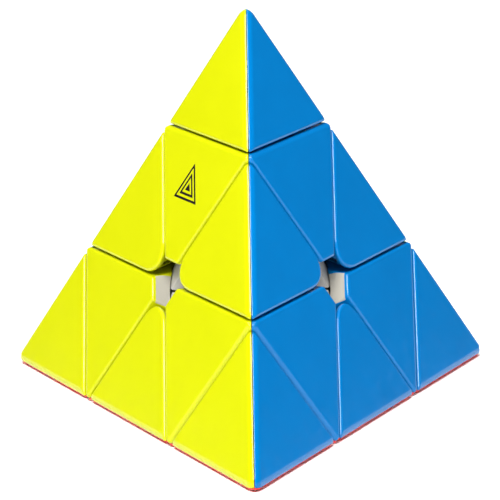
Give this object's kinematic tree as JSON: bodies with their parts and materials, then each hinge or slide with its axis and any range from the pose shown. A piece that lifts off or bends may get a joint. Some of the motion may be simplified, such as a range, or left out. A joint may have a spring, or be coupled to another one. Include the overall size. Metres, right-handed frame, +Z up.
{
  "type": "pyramid twisty puzzle",
  "caption": "Tetrahedral twisty puzzle in moulded colours, with turning tips, axial pieces and edge pieces held on a central core.",
  "frame": {"origin": "middle of the core, where the four turning axes meet", "axes": "+Z up to the top corner, -Y towards the front edge and the front corner, the yellow face on the left and the blue face on the right"},
  "size_m": [0.098, 0.0853, 0.0806],
  "materials": {
    "yellow_plastic": "glossy moulded colour",
    "blue_plastic": "glossy moulded colour",
    "red_plastic": "glossy moulded colour",
    "green_plastic": "glossy moulded colour",
    "white_plastic": "satin",
    "steel": "plated"
  },
  "bodies": {
    "core": {"core": "white_plastic", "pivot_screws": "steel", "tension_springs": "steel", "spring_washers": "steel"},
    "top_axial": {"top_axial_frame": "white_plastic", "top_axial_green_shell": "green_plastic", "top_axial_blue_shell": "blue_plastic", "top_axial_yellow_shell": "yellow_plastic"},
    "front_axial": {"front_axial_frame": "white_plastic", "front_axial_red_shell": "red_plastic", "front_axial_blue_shell": "blue_plastic", "front_axial_yellow_shell": "yellow_plastic"},
    "left_axial": {"left_axial_frame": "white_plastic", "left_axial_red_shell": "red_plastic", "left_axial_green_shell": "green_plastic", "left_axial_yellow_shell": "yellow_plastic"},
    "right_axial": {"right_axial_frame": "white_plastic", "right_axial_red_shell": "red_plastic", "right_axial_green_shell": "green_plastic", "right_axial_blue_shell": "blue_plastic"},
    "top_front_edge": {"top_front_edge_foot": "white_plastic", "top_front_edge_blue_shell": "blue_plastic", "top_front_edge_yellow_shell": "yellow_plastic"},
    "top_left_edge": {"top_left_edge_foot": "white_plastic", "top_left_edge_green_shell": "green_plastic", "top_left_edge_yellow_shell": "yellow_plastic"},
    "top_right_edge": {"top_right_edge_foot": "white_plastic", "top_right_edge_green_shell": "green_plastic", "top_right_edge_blue_shell": "blue_plastic"},
    "front_left_edge": {"front_left_edge_foot": "white_plastic", "front_left_edge_red_shell": "red_plastic", "front_left_edge_yellow_shell": "yellow_plastic"},
    "front_right_edge": {"front_right_edge_foot": "white_plastic", "front_right_edge_red_shell": "red_plastic", "front_right_edge_blue_shell": "blue_plastic"},
    "left_right_edge": {"left_right_edge_foot": "white_plastic", "left_right_edge_red_shell": "red_plastic", "left_right_edge_green_shell": "green_plastic"},
    "top_tip": {"top_tip_base": "white_plastic", "top_tip_green_shell": "green_plastic", "top_tip_blue_shell": "blue_plastic", "top_tip_yellow_shell": "yellow_plastic"},
    "front_tip": {"front_tip_base": "white_plastic", "front_tip_red_shell": "red_plastic", "front_tip_blue_shell": "blue_plastic", "front_tip_yellow_shell": "yellow_plastic"},
    "left_tip": {"left_tip_base": "white_plastic", "left_tip_red_shell": "red_plastic", "left_tip_green_shell": "green_plastic", "left_tip_yellow_shell": "yellow_plastic"},
    "right_tip": {"right_tip_base": "white_plastic", "right_tip_red_shell": "red_plastic", "right_tip_green_shell": "green_plastic", "right_tip_blue_shell": "blue_plastic"}
  },
  "joints": [
    {"name": "top_turn", "type": "hinge", "parent": "core", "child": "top_axial", "pos_m": [0, 0, 0], "axis": [0, 0, 1], "range_deg": [-240, 120]},
    {"name": "front_turn", "type": "hinge", "parent": "core", "child": "front_axial", "pos_m": [0, 0, 0], "axis": [0, -0.9428, -0.3333], "range_deg": [-240, 120]},
    {"name": "left_turn", "type": "hinge", "parent": "core", "child": "left_axial", "pos_m": [0, 0, 0], "axis": [-0.8165, 0.4714, -0.3333], "range_deg": [-240, 120]},
    {"name": "right_turn", "type": "hinge", "parent": "core", "child": "right_axial", "pos_m": [0, 0, 0], "axis": [0.8165, 0.4714, -0.3333], "range_deg": [-240, 120]},
    {"name": "top_front_swap", "type": "hinge", "parent": "top_axial", "child": "top_front_edge", "pos_m": [0, 0, 0], "axis": [0, -0.9428, -0.3333], "range_deg": [-240, 120]},
    {"name": "top_left_swap", "type": "hinge", "parent": "top_axial", "child": "top_left_edge", "pos_m": [0, 0, 0], "axis": [-0.8165, 0.4714, -0.3333], "range_deg": [-240, 120]},
    {"name": "top_right_swap", "type": "hinge", "parent": "top_axial", "child": "top_right_edge", "pos_m": [0, 0, 0], "axis": [0.8165, 0.4714, -0.3333], "range_deg": [-240, 120]},
    {"name": "front_right_swap", "type": "hinge", "parent": "front_axial", "child": "front_right_edge", "pos_m": [0, 0, 0], "axis": [0.8165, 0.4714, -0.3333], "range_deg": [-240, 120]},
    {"name": "front_left_swap", "type": "hinge", "parent": "left_axial", "child": "front_left_edge", "pos_m": [0, 0, 0], "axis": [0, -0.9428, -0.3333], "range_deg": [-240, 120]},
    {"name": "left_right_swap", "type": "hinge", "parent": "right_axial", "child": "left_right_edge", "pos_m": [0, 0, 0], "axis": [-0.8165, 0.4714, -0.3333], "range_deg": [-240, 120]},
    {"name": "top_tip_turn", "type": "hinge", "parent": "top_axial", "child": "top_tip", "pos_m": [0, 0, 0], "axis": [0, 0, 1], "continuous": true},
    {"name": "front_tip_turn", "type": "hinge", "parent": "front_axial", "child": "front_tip", "pos_m": [0, 0, 0], "axis": [0, -0.9428, -0.3333], "continuous": true},
    {"name": "left_tip_turn", "type": "hinge", "parent": "left_axial", "child": "left_tip", "pos_m": [0, 0, 0], "axis": [-0.8165, 0.4714, -0.3333], "continuous": true},
    {"name": "right_tip_turn", "type": "hinge", "parent": "right_axial", "child": "right_tip", "pos_m": [0, 0, 0], "axis": [0.8165, 0.4714, -0.3333], "continuous": true}
  ],
  "couplings": [
    {"joint": "top_front_swap", "follows": "front_turn", "ratio": 1},
    {"joint": "top_left_swap", "follows": "left_turn", "ratio": 1},
    {"joint": "top_right_swap", "follows": "right_turn", "ratio": 1},
    {"joint": "front_right_swap", "follows": "right_turn", "ratio": 1},
    {"joint": "front_left_swap", "follows": "front_turn", "ratio": 1},
    {"joint": "left_right_swap", "follows": "left_turn", "ratio": 1}
  ]
}
